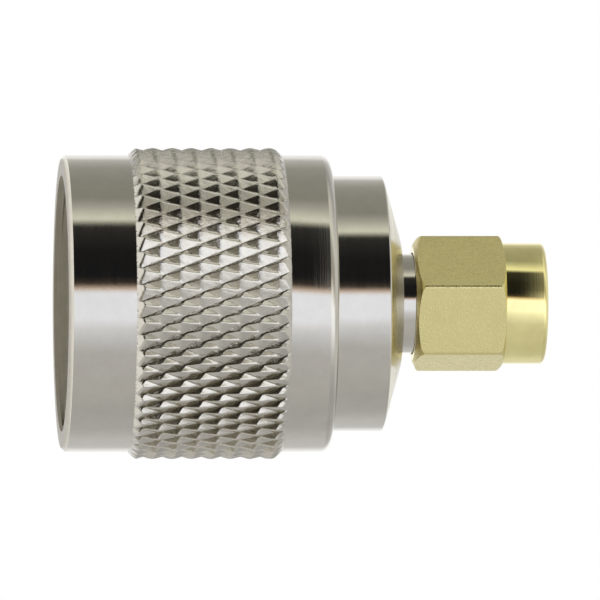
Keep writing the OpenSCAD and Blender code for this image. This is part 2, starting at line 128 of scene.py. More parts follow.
class BodySizes(bpy.types.PropertyGroup):
    """The adapter's main body."""
    hub_r: length("Hub radius", 5.2, "Radius of the hub that the N gasket sits on")
    hub_z: length("Hub height", 11.3, "Front of the hub")
    flange_r: length("Flange radius", 8.33, "Radius of the flange and of its step")
    flange_z: length("Flange height", 12.2, "Front face of the flange")
    groove_r: length("Ring groove radius", 7.78, "Radius of the N ring's groove")
    groove_z0: length("Ring groove start", 14.72, "Lower face of the N ring's groove")
    groove_z1: length("Ring groove end", 15.88, "Upper face of the N ring's groove")
    step_z: length("Step height", 20.96, "Height at which the step ends")
    cone_r: length("Cone radius", 4.38, "Radius of the cone's small end")
    neck_z: length("Neck height", 22.08, "Height of the flat round the neck")
    neck_r: length("Neck radius", 3.24, "Radius of the neck under the SMA nut")
    sma_groove_r: length("SMA groove radius", 2.85, "Radius of the SMA ring's groove")
    sma_groove_z0: length("SMA groove start", 24.17, "Lower face of the SMA ring's groove")
    sma_groove_z1: length("SMA groove end", 25.03, "Upper face of the SMA ring's groove")
    seat_z: length("Seat height", 26.12, "Front face of the neck")
    stem_r: length("N stem bore", 4.45, "Bore that takes the N contact's stem")
    stem_z: length("N stem end", 15.0, "End of that bore")
    sma_stem_r: length("SMA stem bore", 2.45, "Bore that takes the SMA contact's stem")
    sma_stem_z: length("SMA stem start", 18.92, "Start of that bore")
    through_r: length("Through bore", 2.05, "Bore that takes the insulator")
    edge: length("Edge chamfer", 0.08, "Chamfer on the flange's and the step's edges")


class SmaNutSizes(bpy.types.PropertyGroup):
    """The SMA coupling nut and its thread."""
    z0: length("Rear face", 22.97, "Height of the nut's rear face", 40)
    z1: length("Front face", 31.57, "Height of the nut's front face", 40)
    across_flats: length("Across flats", 8.0, "Width of the hexagon over two flats")
    turn: bpy.props.FloatProperty(
        name="Hexagon turn", description="Turn of the hexagon's corners about the axis",
        default=radians(15.9), subtype="ANGLE")
    corner_round: length("Corner rounding", 0.16, "Rounding of the hexagon's long edges")
    land_r: length("Rear land radius", 3.7, "Outer radius of the flat rear face")
    rear_slope: length("Rear slope", 0.3, "How far the rear face slopes back to the corners")
    hex_round: length("Hexagon rounding", 0.48, "Rounding of the corners at both ends")
    hex_end: length("Hexagon end", 28.28, "Height at which the front rounding starts", 40)
    collar_z: length("Collar start", 28.85, "Height at which the round collar starts", 40)
    collar_r: length("Collar radius", 3.96, "Radius of the round collar")
    front_round: length("Front rounding", 0.3, "Rounding of the collar's front edge")
    bore_r: length("Bore radius", 3.34, "Bore over the neck")
    groove_r: length("Ring groove radius", 3.6, "Radius of the groove for the snap ring")
    groove_z0: length("Ring groove start", 24.17, "Lower face of the ring groove", 40)
    groove_z1: length("Ring groove end", 24.73, "Upper face of the ring groove", 40)
    thread_z0: length("Thread start", 27.035, "Height at which the threaded bore starts", 40)
    thread_r: length("Thread radius", 3.175, "Nominal radius of the SMA coupling thread")
    thread_minor_r: length("Thread crest radius", 2.83, "Radius of the thread's crests")
    thread_pitch: length("Thread pitch", 0.7056, "Advance of the SMA thread in one turn")
    lead: length("Lead", 0.3, "Chamfer that leads into the thread")


class InsideSizes(bpy.types.PropertyGroup):
    """The contacts, insulators and gaskets of both ends."""
    n_plane_z: length("N contact plane", 1.6, "Height of the N outer contact's lip")
    n_contact_r: length("N contact radius", 4.05, "Outer radius of the N outer contact")
    n_contact_bore_r: length("N contact bore", 3.53, "Bore of its fingers")
    n_stem_r: length("N stem radius", 4.44, "Radius of its pressed stem")
    slot_w: length("Slot width", 0.35, "Width of a slot in the N outer contact")
    slot_len: length("Slot length", 5.5, "Length of a slot")
    bead_r: length("Bead radius", 3.72, "Outer radius of the insulating bead")
    bead_bore_r: length("Bead bore", 1.08, "Bore of the bead")
    bead_z0: length("Bead front", 10.4, "Front face of the bead")
    n_pin_r: length("N pin radius", 0.825, "Radius of the N centre pin")
    n_tip_z: length("N pin tip", 1.9, "Height of its tip")
    n_shoulder_z: length("N shoulder", 6.9, "Height of its shoulder")
    n_conductor_r: length("N conductor radius", 1.52, "Radius of the conductor behind the pin")
    n_gasket_r: length("N gasket radius", 7.5, "Outer radius of the N gasket")
    n_gasket_z: length("N gasket face", 10.7, "Height of the N gasket's face")
    sma_contact_r: length("SMA contact radius", 2.285, "Outer radius of the SMA outer contact")
    sma_plane_z: length("SMA contact plane", 28.67, "Height of its lip", 40)
    sma_gasket_r: length("SMA gasket radius", 3.1, "Outer radius of the SMA gasket")
    sma_gasket_t: length("SMA gasket thickness", 0.75, "Thickness of the SMA gasket")
    insulator_z0: length("Insulator start", 15.6, "Height at which the insulator starts", 40)
    insulator_z1: length("Insulator end", 28.62, "Height of its front face", 40)
    sma_pin_r: length("SMA pin radius", 0.457, "Radius of the SMA centre pin")
    sma_tip_z: length("SMA pin tip", 30.87, "Height of its tip", 40)
    sma_conductor_r: length("SMA conductor radius", 0.635, "Radius of the conductor behind it")
    sma_flange_r: length("SMA flange radius", 1.4, "Radius of the flange behind the bead")
    stud_z: length("Stud end", 12.4, "Lowest point of the stud in the N pin")


class Finishes(bpy.types.PropertyGroup):
    """Colours of the plated, moulded and bare pieces."""
    nickel: colour("Nickel", (0.645, 0.615, 0.55), "Bright nickel plate")
    bronze_plate: colour("White bronze", (0.68, 0.66, 0.60), "Plate of the N outer contact")
    gold: colour("Gold", (0.88, 0.78, 0.37), "Gold plate of the SMA nut")
    contact_gold: colour("Contact gold", (0.94, 0.79, 0.38), "Gold plate of the contacts")
    ptfe: colour("PTFE", (0.90, 0.89, 0.85), "Insulators")
    silicone: colour("Silicone", (0.40, 0.09, 0.055), "Gaskets")
    bronze: colour("Bronze", (0.72, 0.50, 0.27), "Bare spring bronze of the snap rings")


class StageSizes(bpy.types.PropertyGroup):
    """The floor, the light and the camera."""
    floor: colour("Floor", (0.93, 0.93, 0.92), "Colour of the floor")
    floor_size: length("Floor size", 3000, "Side of the floor")
    distance: length("Camera distance", 798, "Distance from the camera to the object's middle")
    yaw: bpy.props.FloatProperty(
        name="Camera yaw", description="How far the camera looks along the axis from the N end",
        default=radians(4.52), subtype="ANGLE")
    lens: bpy.props.FloatProperty(
        name="Lens", description="Focal length in millimetres", default=733.0)


class AdapterSettings(bpy.types.PropertyGroup):
    """Everything that can be set on the adapter."""
    nut: bpy.props.PointerProperty(type=NutSizes, name="N nut")
    knurl: bpy.props.PointerProperty(type=KnurlSizes, name="Knurl")
    body: bpy.props.PointerProperty(type=BodySizes, name="Main body")
    sma: bpy.props.PointerProperty(type=SmaNutSizes, name="SMA nut")
    inside: bpy.props.PointerProperty(type=InsideSizes, name="Inside")
    finishes: bpy.props.PointerProperty(type=Finishes, name="Finishes")
    stage: bpy.props.PointerProperty(type=StageSizes, name="Stage")


# ---- modelling


def put_down():
    """Leaves edit mode and selects nothing."""
    if bpy.context.object and bpy.context.object.mode != "OBJECT":
        bpy.ops.object.mode_set(mode="OBJECT")
    bpy.ops.object.select_all(action="DESELECT")


def take_up(obj):
    """Selects one object and makes it active."""
    put_down()
    obj.select_set(True)
    bpy.context.view_layer.objects.active = obj


def ring(start, end, centre, radius, steps=8):
    """Points of an arc about a centre in (radius, height), from one angle to another."""
    angles = [start + (end - start) * i / steps for i in range(steps + 1)]
    return [(centre[0] + radius * cos(a), centre[1] + radius * sin(a)) for a in angles]


def turn(name, profile, sides=PLAIN, closed=True, edge=0.02 * MM):
    """A turned piece: a circle is drawn out ring by ring along a profile in (radius, height).
    A closed profile makes a tube, an open one a bar, with both ends capped."""
    put_down()
    r, z = profile[0]
    bpy.ops.mesh.primitive_circle_add(vertices=sides, radius=r, location=(0, 0, z))
    obj = bpy.context.object
    obj.name = obj.data.name = name
    bpy.ops.object.transform_apply(location=True)
    bpy.ops.object.mode_set(mode="EDIT")
    bpy.ops.mesh.select_all(action="SELECT")
    for r1, z1 in profile[1:] + (profile[:1] if closed else []):
        bpy.ops.mesh.extrude_region_move(TRANSFORM_OT_translate={"value": (0, 0, z1 - z)})
        bpy.ops.transform.resize(value=(r1 / r, r1 / r, 1), center_override=(0, 0, 0))
        r, z = r1, z1
    if not closed:
        bpy.ops.mesh.edge_face_add()
        select_open_edges()
        bpy.ops.mesh.edge_face_add()
    finish_mesh()
    break_edges(obj, edge)
    return obj


def tube(name, r0, r1, z0, z1, edge):
    """A plain turned tube between two radii and two heights."""
    return turn(name, [(r0, z0), (r1, z0), (r1, z1), (r0, z1)], edge=edge)


def select_open_edges():
    """Selects the rims of the open ends, in edit mode."""
    bpy.ops.mesh.select_all(action="DESELECT")
    bpy.ops.mesh.select_non_manifold(
        extend=False, use_wire=False, use_boundary=True, use_multi_face=False,
        use_non_contiguous=False, use_verts=False)


def finish_mesh():
    """Joins what meets, turns the faces outwards and leaves edit mode."""
    bpy.ops.mesh.select_all(action="SELECT")
    bpy.ops.mesh.remove_doubles(threshold=JOIN)
    bpy.ops.mesh.normals_make_consistent(inside=False)
    bpy.ops.object.mode_set(mode="OBJECT")


def add_modifier(obj, kind, **settings):
    """Adds a modifier with these settings and applies it."""
    take_up(obj)
    bpy.ops.object.modifier_add(type=kind)
    modifier = obj.modifiers[-1]
    for name, value in settings.items():
        setattr(modifier, name, value)
    bpy.ops.object.modifier_apply(modifier=modifier.name)


def break_edges(obj, width, segments=2, angle=radians(28)):
    """Rounds every edge that is sharper than the angle, and shades the piece smooth."""
    take_up(obj)
    bpy.ops.object.shade_smooth()
    if width:
        add_modifier(
            obj, "BEVEL", width=width, segments=segments, limit_method="ANGLE",
            angle_limit=angle, harden_normals=True, use_clamp_overlap=True)


def smooth_max(a, b, k):
    """The larger of two, rounded off over k where they cross."""
    h = np.clip(0.5 + 0.5 * (a - b) / k, 0, 1)
    return b + (a - b) * h + k * h * (1 - h)


# ---- finishes


def fill(tree, node, inputs):
    """Gives a node's inputs their values, or links them to the outputs given instead."""
    for name, value in inputs.items():
        if isinstance(value, bpy.types.NodeSocket):
            tree.links.new(value, node.inputs[name])
        else:
            node.inputs[name].default_value = value


def add_node(tree, kind, inputs):
    """A new node with its inputs filled."""
    node = tree.nodes.new(kind)
    fill(tree, node, inputs)
    return node


def combined(tree, operation, *values):
    """Values or outputs put through a math node."""
    node = tree.nodes.new("ShaderNodeMath")
    node.operation = operation
    fill(tree, node, dict(enumerate(values)))
    return node.outputs[0]


def eased(tree, source, low, high):
    """A smooth step from 0 to 1 between two values."""
    node = add_node(tree, "ShaderNodeMapRange", {
        "Value": source, "From Min": low, "From Max": high})
    node.interpolation_type = "SMOOTHSTEP"
    return node.outputs["Result"]


def new_material(name):
    """Makes a material, and returns its node tree and its shader."""
    material = bpy.data.materials.new(name)
    material.use_nodes = True
    tree = material.node_tree
    tree.nodes.clear()
    shader = tree.nodes.new("ShaderNodeBsdfPrincipled")
    add_node(tree, "ShaderNodeOutputMaterial", {"Surface": shader.outputs["BSDF"]})
    return tree, shader


def pattern(tree, scale, detail=2.0, rough=0.5, stretch=(1, 1, 1)):
    """Noise on the piece's own coordinates. Stretch gives it a grain."""
    place = tree.nodes.new("ShaderNodeTexCoord").outputs["Object"]
    mapping = add_node(tree, "ShaderNodeMapping", {"Vector": place, "Scale": stretch})
    noise = add_node(tree, "ShaderNodeTexNoise", {
        "Vector": mapping.outputs["Vector"], "Scale": scale, "Detail": detail,
        "Roughness": rough})
    return noise.outputs["Fac"]


def graded(tree, source, low, high, start=0.3, end=0.7):
    """Takes a pattern to a range of values."""
    return add_node(tree, "ShaderNodeMapRange", {
        "Value": source, "From Min": start, "From Max": end, "To Min": low,
        "To Max": high}).outputs["Result"]


def tinted(tree, source, low, high, start=0.3, end=0.7):
    """Takes a pattern to a range of colours."""
    ramp = add_node(tree, "ShaderNodeValToRGB", {"Fac": source})
    first, last = ramp.color_ramp.elements
    first.position, last.position = start, end
    first.color, last.color = (*low, 1), (*high, 1)
    return ramp.outputs["Color"]


def bumped(tree, source, height, below=None):
    """Raises a pattern by a height, on top of another bump."""
    node = add_node(tree, "ShaderNodeBump", {
        "Height": source, "Strength": 1.0, "Distance": height})
    if below:
        tree.links.new(below, node.inputs["Normal"])
    return node.outputs["Normal"]


def shade(colour_value, amount):
    """A colour made lighter or darker."""
    return tuple(min(c * amount, 1.0) for c in colour_value)


def shade_to(first, second, amount):
    """A colour part of the way from one to another."""
    return tuple(a + (b - a) * amount for a, b in zip(first, second))


def plated(name, colour_value, rough, lines=0.0, line_scale=14000, grain=0.0,
           grain_scale=7000, spots=0.06):
    """A plated metal: lathe lines round the axis, a grain under the plate and slight stains."""
    tree, shader = new_material(name)
    links = tree.links
    shader.inputs["Metallic"].default_value = 1.0
    stain = pattern(tree, 900, detail=4, rough=0.6)
    links.new(tinted(tree, stain, shade(colour_value, 1 - spots), shade(colour_value, 1 + spots)),
              shader.inputs["Base Color"])
    streak = pattern(tree, 1 if lines else 4000, detail=3,
                     stretch=(200, 200, line_scale / 2) if lines else (1, 1, 1))
    links.new(graded(tree, streak, rough * 0.75, rough * 1.3), shader.inputs["Roughness"])
    normal = None
    if grain:
        normal = bumped(tree, pattern(tree, grain_scale, detail=3, rough=0.6), grain)
    if lines:
        turning = pattern(tree, 1, detail=3, rough=0.55, stretch=(70, 70, line_scale))
        normal = bumped(tree, turning, lines, normal)
    if normal:
        links.new(normal, shader.inputs["Normal"])


def moulded(name, colour_value, rough, grain, grain_scale=5000):
    """A moulded or machined insulator or seal, slightly cloudy and grained."""
    tree, shader = new_material(name)
    cloud = pattern(tree, 1200, detail=4)
    tree.links.new(
        tinted(tree, cloud, shade(colour_value, 0.93), shade(colour_value, 1.05)),
        shader.inputs["Base Color"])
    tree.links.new(
        graded(tree, pattern(tree, grain_scale, detail=2), rough * 0.85, rough * 1.15),
        shader.inputs["Roughness"])
    tree.links.new(
        bumped(tree, pattern(tree, grain_scale, detail=3), grain), shader.inputs["Normal"])


def part_finish(obj, finish, z0, z1, outside=True):
    """Gives the outside or the bore faces between two heights a finish of their own."""
    obj.data.materials.append(bpy.data.materials[finish])
    for face in obj.data.polygons:
        outwards = face.normal.x * face.center.x + face.normal.y * face.center.y > 0
        if z0 < face.center.z < z1 and outwards == outside:
            face.material_index = len(obj.data.materials) - 1


def give(obj, finish, slot, body, *nodes):
    """Puts a finish on a piece, ties it to its body and hides the CAD nodes that it stands for."""
    obj.data.materials.clear()
    obj.data.materials.append(bpy.data.materials[finish])
    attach(obj, body)
    if nodes:
        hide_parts(*nodes)


# ---- N coupling nut


class ADAPTER_OT_n_nut(bpy.types.Operator):
    """Turns the N coupling nut's rim, skirt and bore"""
    bl_idname = "adapter.n_nut"
    bl_label = "N nut"

    def execute(self, context):
        nut, knurl = context.scene.adapter.nut, context.scene.adapter.knurl
        hidden = 0.2 * MM        # how far the wall under the knurled band is cut back
        profile = [
            (nut.thread_r + nut.lead, 0), (nut.rim_r - nut.mouth_chamfer, 0),
            (nut.rim_r, nut.mouth_chamfer), (nut.rim_r, knurl.z0 + hidden / 4),
            (nut.rim_r - hidden, knurl.z0 + hidden), (nut.rim_r - hidden, knurl.z1 - hidden),
            (nut.rim_r, knurl.z1 - hidden / 4),
            *ring(0, pi / 2, (nut.rim_r - nut.rear_round, nut.end_z - nut.rear_round),
                  nut.rear_round),
            (nut.bore_r, nut.end_z), (nut.bore_r, nut.groove_z1), (nut.groove_r, nut.groove_z1),
            (nut.groove_r, nut.groove_z0), (nut.bore_r, nut.groove_z0),
            (nut.bore_r, nut.bore_z), (nut.thread_r, nut.bore_z - nut.bore_r + nut.thread_r),
            (nut.thread_r, nut.lead)]
        obj = turn("n_nut_shell", profile, FINE, edge=0.03 * MM)
        give(obj, "nickel_turned", "nickel_plate", "n_nut", "n_coupling_nut")
        # the bore up to the wide bore takes the darkened nickel, a painted shade of the mouth's
        # inside
        part_finish(obj, "nickel_inside_painted_shade", 0.02 * MM, nut.bore_z, False)
        return {"FINISHED"}


class ADAPTER_OT_knurl(bpy.types.Operator):
    """Presses the knurled band: one ridge is shaped and copied round the nut"""
    bl_idname = "adapter.knurl"
    bl_label = "Knurled band"

    def execute(self, context):
        knurl, rim_r = context.scene.adapter.knurl, context.scene.adapter.nut.rim_r
        obj = self.ridge(knurl, rim_r)
        self.copy_round(obj, knurl)
        self.close(obj, knurl, rim_r)
        self.wear(obj, knurl)
        give(obj, "nickel_knurled", "nickel_plate", "n_nut")
        return {"FINISHED"}

    def ridge(self, knurl, rim_r):
        """One ridge between two main grooves, cut by the crossing ones."""
        across = [0, 0.05, 0.10, 0.14, 0.18, 0.22, 0.26, 0.31, 0.38, 0.46, 0.55, 0.65, 0.76, 0.88]
        along = [0, 0.06, 0.12, 0.18, 0.24, 0.30, 0.35, 0.39, 0.44, 0.51, 0.60, 0.70, 0.81, 0.91]
        reach = math.ceil((knurl.z1 - knurl.z0) / knurl.pitch) + 1
        u_lines = np.array(across + [1.0])
        v_lines = np.array([k + a for k in range(-reach, reach + 1) for a in along])
        put_down()
        bpy.ops.mesh.primitive_grid_add(
            x_subdivisions=len(u_lines) - 1, y_subdivisions=len(v_lines) - 1, size=1)
        obj = bpy.context.object
        obj.name = obj.data.name = "n_nut_knurl"
        points = np.empty(len(obj.data.vertices) * 3)
        obj.data.vertices.foreach_get("co", points)
        points = points.reshape(-1, 3) + 0.5
        u = u_lines[np.rint(points[:, 0] * (len(u_lines) - 1)).astype(int)]
        v = v_lines[np.rint(points[:, 1] * (len(v_lines) - 1)).astype(int)]
        angle = 2 * pi / knurl.count * (u + v) / 2
        z = (knurl.z0 + knurl.z1) / 2 + (u - v - 0.5) * knurl.pitch / 2
        r = knurl.crest_r - np.maximum(self.depth(u, v, knurl), knurl.waviness)
        slope = (knurl.crest_r - rim_r) / knurl.chamfer
        for end in (z - knurl.z0, knurl.z1 - z):
            r = -smooth_max(-r, -(rim_r + slope * end), knurl.rounding)
        points = np.stack([r * np.cos(angle), r * np.sin(angle), z], axis=1)
        obj.data.vertices.foreach_set("co", points.ravel())
        return obj

    def depth(self, u, v, knurl):
        """Depth of the pattern under the crests. Grooves lie at whole u and whole v."""
        x, y, soft = u % 1, v % 1, knurl.rounding
        main = smooth_max(knurl.depth * (1 - x / knurl.steep),
                          knurl.depth * (1 - (1 - x) / knurl.broad), soft)
        flank, slope = y / knurl.cross_steep, (1 - y) / knurl.cross_gentle
        hollow, crown = 0.3, 0.2      # how far the crossing flanks curve in and out
        rise = np.minimum((1 - hollow) * flank + hollow * flank ** 2,
                          (1 + crown) * slope - crown * slope ** 2)
        cross = knurl.cross_depth * (1 - rise)
        return smooth_max(main, cross, soft)

    def copy_round(self, obj, knurl):
        """Copies the ridge round the axis and joins the copies."""
        put_down()
        bpy.ops.object.empty_add(location=(0, 0, 0), rotation=(0, 0, 2 * pi / knurl.count))
        step = bpy.context.object
        add_modifier(obj, "ARRAY", count=knurl.count, use_relative_offset=False,
                     use_object_offset=True, offset_object=step)
        bpy.data.objects.remove(step)

    def close(self, obj, knurl, rim_r):
        """Trims both ends square and closes the band inside the nut's wall."""
        take_up(obj)
        bpy.ops.object.mode_set(mode="EDIT")
        bpy.ops.mesh.select_all(action="SELECT")
        bpy.ops.mesh.remove_doubles(threshold=0.002 * MM)
        for z, side in ((knurl.z0, {"clear_inner": True}), (knurl.z1, {"clear_outer": True})):
            bpy.ops.mesh.select_all(action="SELECT")
            bpy.ops.mesh.bisect(plane_co=(0, 0, z), plane_no=(0, 0, 1), **side)
        select_open_edges()
        bpy.ops.mesh.extrude_region_move()
        bpy.ops.transform.resize(
            value=(knurl.root_r / rim_r, knurl.root_r / rim_r, 1), center_override=(0, 0, 0))
        bpy.ops.mesh.bridge_edge_loops()
        finish_mesh()

    def wear(self, obj, knurl):
        """Leaves the band slightly uneven, as the wheels do."""
        uneven = bpy.data.textures.new("knurl_uneven", "CLOUDS")
        uneven.noise_scale = 0.35 * MM
        uneven.noise_depth = 2
        add_modifier(obj, "DISPLACE", texture=uneven, texture_coords="LOCAL",
                     strength=2 * knurl.waviness, mid_level=0.5)
        take_up(obj)
        bpy.ops.object.shade_smooth_by_angle(angle=radians(50))


class ADAPTER_OT_threads(bpy.types.Operator):
    """Cuts the right-hand threads in both coupling nuts"""
    bl_idname = "adapter.threads"
    bl_label = "Threads"

    def execute(self, context):
        nut, sma = context.scene.adapter.nut, context.scene.adapter.sma
        obj = self.helix("n_nut_thread", nut.thread_r, nut.thread_minor_r, nut.thread_pitch,
                         0, nut.thread_end)
        self.lead_in(obj, nut.thread_r, lambda z: nut.thread_r + nut.lead - z)
        # the N thread takes the same darkened nickel, a painted shade of the mouth's inside
        give(obj, "nickel_inside_painted_shade", "nickel_plate", "n_nut")
        obj = self.helix("sma_nut_thread", sma.thread_r, sma.thread_minor_r, sma.thread_pitch,
                         sma.thread_z0 + 0.1 * MM, sma.z1)
        self.lead_in(obj, sma.thread_r, lambda z: sma.thread_r + sma.lead - (sma.z1 - z))
        # the SMA thread takes the lightened gold, a painted highlight
        give(obj, "gold_turned_painted_highlight", "gold_plate", "sma_nut")
        return {"FINISHED"}

    def helix(self, name, base_r, crest_r, pitch, z0, z1):
        """The thread's ridge: its section is wound along the axis."""
        put_down()
        bpy.ops.mesh.primitive_plane_add(size=pitch)
        obj = bpy.context.object
        obj.name = obj.data.name = name
        half = 0.43 * pitch              # half the ridge's foot
        crest = half - (base_r - crest_r) * math.tan(radians(30)) * 0.96
        foot = base_r + SUNK
        section = [(foot, -half), (foot, half), (crest_r, crest), (crest_r, -crest)]
        for vertex, corner in zip(self.in_order(obj), section):
            vertex.co = (corner[0], 0, z0 + pitch / 2 + corner[1])
        bpy.ops.object.mode_set(mode="EDIT")
        bpy.ops.mesh.select_all(action="SELECT")
        bpy.ops.mesh.delete(type="ONLY_FACE")
        bpy.ops.object.mode_set(mode="OBJECT")
        turns = (z1 - z0 - pitch) / pitch
        add_modifier(obj, "SCREW", axis="Z", angle=2 * pi * turns, iterations=1,
                     screw_offset=pitch * turns, steps=round(96 * turns),
                     render_steps=round(96 * turns))
        take_up(obj)
        bpy.ops.object.mode_set(mode="EDIT")
        bpy.ops.mesh.select_all(action="SELECT")
        bpy.ops.mesh.fill_holes(sides=4)
        finish_mesh()
        return obj

    def in_order(self, obj):
        """The section's four corners in turn."""
        loop = obj.data.polygons[0].vertices
        return [obj.data.vertices[i] for i in loop]

    def lead_in(self, obj, base_r, cone):
        """Cuts the ridge back where the nut's lead chamfer takes it, and breaks its edges."""
        for vertex in obj.data.vertices:
            r = math.hypot(vertex.co.x, vertex.co.y)
            least = min(cone(vertex.co.z), base_r + SUNK)
            if r < least:
                vertex.co.x *= least / r
                vertex.co.y *= least / r
        break_edges(obj, 0.03 * MM)


# ---- main body


class ADAPTER_OT_body(bpy.types.Operator):
    """Turns the main body: hub, flange, step, cone and neck"""
    bl_idname = "adapter.body"
    bl_label = "Main body"

    def execute(self, context):
        body = context.scene.adapter.body
        lead = 2 * body.edge
        profile = [
            (body.stem_r, body.hub_z), (body.hub_r, body.hub_z), (body.hub_r, body.flange_z),
            (body.flange_r - lead, body.flange_z), (body.flange_r, body.flange_z + lead),
            (body.flange_r, body.groove_z0), (body.groove_r, body.groove_z0),
            (body.groove_r, body.groove_z1), (body.flange_r, body.groove_z1),
            (body.flange_r, body.step_z - body.edge), (body.flange_r - body.edge, body.step_z),
            (body.cone_r, body.neck_z), (body.neck_r, body.neck_z),
            (body.neck_r, body.sma_groove_z0), (body.sma_groove_r, body.sma_groove_z0),
            (body.sma_groove_r, body.sma_groove_z1), (body.neck_r, body.sma_groove_z1),
            (body.neck_r, body.seat_z - lead), (body.neck_r - lead, body.seat_z),
            (body.sma_stem_r, body.seat_z), (body.sma_stem_r, body.sma_stem_z),
            (body.through_r, body.sma_stem_z), (body.through_r, body.stem_z),
            (body.stem_r, body.stem_z)]
        obj = turn("body_turned", profile, FINE, edge=0.025 * MM)
        give(obj, "nickel_turned", "nickel_plate", "adapter_body",
             "main_body")
        # the cone takes nickel tinted towards gold, a painted reflection of the SMA nut
        part_finish(obj, "nickel_satin_painted_reflection", body.step_z, body.neck_z + 0.01 * MM)
        return {"FINISHED"}


# ---- N plug interior


class ADAPTER_OT_n_inside(bpy.types.Operator):
    """Makes the N gasket, the slotted outer contact, the bead and the centre pin"""
    bl_idname = "adapter.n_inside"
    bl_label = "N contacts"

    def execute(self, context):
        inside, body = context.scene.adapter.inside, context.scene.adapter.body
        gasket = tube("n_gasket_ring", body.hub_r + CLEAR, inside.n_gasket_r,
                      inside.n_gasket_z, body.flange_z, 0.12 * MM)
        give(gasket, "silicone_seal", "silicone", "adapter_body", "n_gasket")
        give(self.slotted_contact(inside, body), "bronze_plated", "nickel_contact",
             "adapter_body", "n_outer_contact")
        bead = tube("n_bead_insulator", inside.bead_bore_r, inside.bead_r, inside.bead_z0,
                    body.stem_z, 0.05 * MM)
        give(bead, "ptfe_turned", "ptfe", "adapter_body", "n_bead")
        give(self.centre_pin(inside, body), "gold_contact_turned", "gold_contact",
             "adapter_body", "n_centre_pin")
        return {"FINISHED"}

    def slotted_contact(self, inside, body):
        """A thin tube with crossed slots sawn from its lip."""
        lip = (inside.n_contact_r - inside.n_contact_bore_r) / 3
        seat_r = inside.bead_r + CLEAR
        obj = turn("n_contact_slotted", [
            (inside.n_contact_bore_r, inside.n_plane_z + lip),
            (inside.n_contact_bore_r + lip, inside.n_plane_z),
            (inside.n_contact_r - lip, inside.n_plane_z),
            (inside.n_contact_r, inside.n_plane_z + lip),
            (inside.n_contact_r, body.hub_z), (inside.n_stem_r, body.hub_z),
            (inside.n_stem_r, body.stem_z), (seat_r, body.stem_z),
            (seat_r, inside.bead_z0), (inside.n_contact_bore_r, inside.bead_z0)],
            edge=0)
        width, height = 10 * MM, 8 * MM
        for angle in (pi / 4, 3 * pi / 4):
            put_down()
            bpy.ops.mesh.primitive_cube_add(
                size=1, location=(0, 0, inside.n_plane_z + inside.slot_len - height / 2),
                rotation=(0, 0, angle), scale=(width, inside.slot_w, height))
            saw = bpy.context.object
            add_modifier(obj, "BOOLEAN", operation="DIFFERENCE", object=saw, solver="EXACT")
            bpy.data.objects.remove(saw)
        break_edges(obj, 0.02 * MM)
        return obj

    def centre_pin(self, inside, body):
        """A pin with a tapered tip, on the conductor that the bead holds."""
        r, tip = inside.n_pin_r, inside.n_tip_z
        tip_r, soft = PIN_TIP * r, PIN_ROUND * r
        waist_r, socket_r = inside.bead_bore_r - CLEAR, inside.sma_pin_r + CLEAR
        return turn("n_pin_turned", [
            *ring(-pi / 2 + PIN_FLAT, 0, (tip_r - soft, tip + soft), soft, 6),
            (r, tip + PIN_TAPER * r), (r, inside.n_shoulder_z),
            (inside.n_conductor_r - BREAK, inside.n_shoulder_z),
            (inside.n_conductor_r, inside.n_shoulder_z + BREAK),
            (inside.n_conductor_r, inside.bead_z0), (waist_r, inside.bead_z0),
            (waist_r, body.stem_z), (socket_r, body.stem_z),
            (socket_r, inside.stud_z - BREAK)], closed=False)


# ---- SMA coupling nut


class ADAPTER_OT_sma_nut(bpy.types.Operator):
    """Turns the SMA coupling nut and mills its hexagon"""
    bl_idname = "adapter.sma_nut"
    bl_label = "SMA nut"

    def execute(self, context):
        sma = context.scene.adapter.sma
        third = radians(60)
        corner_r = sma.across_flats / 2 / cos(radians(30))
        round_r = corner_r - sma.hex_round
        round_z = sma.z0 + sma.rear_slope + sma.hex_round * sin(third)
        profile = [
            (sma.bore_r, sma.z0), (sma.land_r, sma.z0),
            *ring(-third, 0, (round_r, round_z), sma.hex_round),
            *ring(0, third, (round_r, sma.hex_end), sma.hex_round),
            (sma.collar_r, sma.collar_z),
            *ring(0, pi / 2, (sma.collar_r - sma.front_round, sma.z1 - sma.front_round),
                  sma.front_round, 6),
            (sma.thread_r + sma.lead, sma.z1), (sma.thread_r, sma.z1 - sma.lead),
            (sma.thread_r, sma.thread_z0),
            (sma.bore_r, sma.thread_z0 - sma.bore_r + sma.thread_r),
            (sma.bore_r, sma.groove_z1), (sma.groove_r, sma.groove_z1),
            (sma.groove_r, sma.groove_z0), (sma.bore_r, sma.groove_z0)]
        obj = turn("sma_nut_hexagon", profile, FINE, edge=0)
        put_down()
        bpy.ops.mesh.primitive_cylinder_add(
            vertices=6, radius=corner_r, depth=20 * MM,
            location=(0, 0, sma.z0 + 5 * MM), rotation=(0, 0, sma.turn + pi / 6))
        mill = bpy.context.object
        bpy.ops.object.transform_apply(location=True, rotation=True)
        add_modifier(mill, "BEVEL", width=sma.corner_round, segments=5, limit_method="ANGLE",
                     angle_limit=radians(50))
        add_modifier(obj, "BOOLEAN", operation="INTERSECT", object=mill, solver="EXACT")
        bpy.data.objects.remove(mill)
        break_edges(obj, 0.06 * MM, segments=3, angle=radians(24))
        # the nut takes the lightened gold, a painted highlight; its flats and rear below the
        # collar take the darkened gold, a painted shade
        give(obj, "gold_turned_painted_highlight", "gold_plate", "sma_nut",
             "sma_coupling_nut")
        part_finish(obj, "gold_satin_painted_shade", sma.z0, sma.collar_z)
        return {"FINISHED"}


# ---- SMA plug interior


